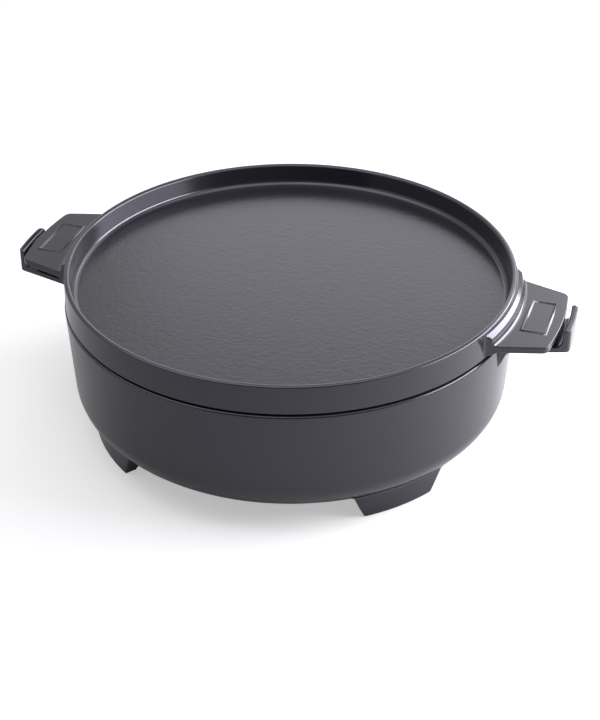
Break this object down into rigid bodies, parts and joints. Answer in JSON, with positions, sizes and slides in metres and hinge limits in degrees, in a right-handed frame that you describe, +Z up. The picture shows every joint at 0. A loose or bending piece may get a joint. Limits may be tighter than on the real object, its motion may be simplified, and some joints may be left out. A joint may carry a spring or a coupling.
{
  "type": "dutch oven",
  "caption": "Round enamelled cast-iron dutch oven on low feet, with upturned side handles and a flat-handled lid shaped as a shallow griddle dish.",
  "frame": {"origin": "on the ground under the middle of the pot", "axes": "+X along the line of the pot's two handles, +Z up along the pot's axis, -Y towards the viewer"},
  "size_m": [0.4072, 0.322, 0.122],
  "materials": {
    "enamel": "satin charcoal porcelain enamel over sand-cast iron"
  },
  "bodies": {
    "pot": {"pot_bowl": "enamel", "pot_foot_right_back": "enamel", "pot_foot_left_back": "enamel", "pot_foot_left_front": "enamel", "pot_foot_right_front": "enamel", "pot_handle_right": "enamel", "pot_handle_left": "enamel"},
    "lid": {"lid_dish": "enamel", "lid_handle_right": "enamel", "lid_handle_left": "enamel"}
  },
  "joints": [
    {"name": "lid_lift", "type": "slide", "parent": "pot", "child": "lid", "axis": [0, 0, 1], "range_m": [0, 0.15]}
  ]
}
